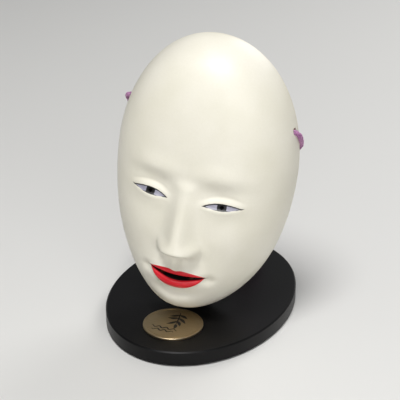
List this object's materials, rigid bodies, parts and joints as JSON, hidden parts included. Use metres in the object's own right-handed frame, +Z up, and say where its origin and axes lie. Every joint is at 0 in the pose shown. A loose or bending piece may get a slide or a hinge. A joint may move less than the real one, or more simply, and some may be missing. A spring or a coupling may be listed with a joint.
{
  "type": "noh mask",
  "caption": "Carved egg-shaped face mask with a thin pale coat, slit eyes and mouth and tie cords, hung on a ball-head stand with an oval base and round plaque.",
  "frame": {"origin": "centre of the flat underside of the felt under the oval base", "axes": "+Z up; the mask and the plaque face -Y, +X is to the right of someone who looks at the mask from the front"},
  "size_m": [0.1506, 0.188, 0.2252],
  "materials": {
    "gofun": "satin, hand-rubbed gesso",
    "carved_cypress": "oiled and lacquered at the back, bare along the rim",
    "black_lacquered_board": "satin black lacquer",
    "black_felt": "wool felt",
    "champagne_brass": "brushed, champagne tone",
    "foam_tape": "double-sided foam tape",
    "black_steel": "black powder coat",
    "polished_steel": "polished",
    "plated_screw": "zinc plated",
    "knob_plastic": "moulded, fluted",
    "tip_rubber": "soft rubber",
    "pad_felt": "soft pad",
    "purple_braid": "braided silk cord"
  },
  "bodies": {
    "stand": {"base_board": "black_lacquered_board", "felt_underlay": "black_felt", "round_plaque": "champagne_brass", "plaque_tape": "foam_tape", "post_flange": "black_steel", "flange_screws": "plated_screw", "post": "black_steel", "ball_stud": "polished_steel"},
    "hanger": {"clamp_front": "black_steel", "clamp_rear": "black_steel", "clamp_nut": "plated_screw", "saddle_screws": "plated_screw", "bow_saddle": "black_steel", "hanger_bow": "polished_steel", "left_tip": "tip_rubber", "right_tip": "tip_rubber", "pad_stem": "polished_steel", "stop_pad": "pad_felt", "cord_rest": "polished_steel", "rest_strut": "polished_steel", "spine_bolt": "plated_screw", "hanger_spine": "black_steel"},
    "clamp_knob": {"knob_washer": "plated_screw", "knob_grip": "knob_plastic", "knob_screw": "plated_screw"},
    "mask": {"mask_body": "carved_cypress", "gofun_coat": "gofun", "left_cord": "purple_braid", "left_cord_coil": "purple_braid", "left_end_knot": "purple_braid", "left_stopper_knot": "purple_braid", "right_cord": "purple_braid", "right_cord_coil": "purple_braid", "right_end_knot": "purple_braid", "right_stopper_knot": "purple_braid"}
  },
  "joints": [
    {"name": "hanger_swivel", "type": "hinge", "parent": "stand", "child": "hanger", "pos_m": [0, 0.008, 0.06], "axis": [0, 0, 1], "range_deg": [-20, 20]},
    {"name": "clamp_knob_turn", "type": "hinge", "parent": "hanger", "child": "clamp_knob", "pos_m": [0.00146, 0.00888, 0.0744], "axis": [-0.0683, 0.9962, -0.0538], "range_deg": [0, 270]},
    {"name": "mask_lift", "type": "slide", "parent": "hanger", "child": "mask", "axis": [0, 0, 1], "range_m": [0, 0.025]}
  ]
}
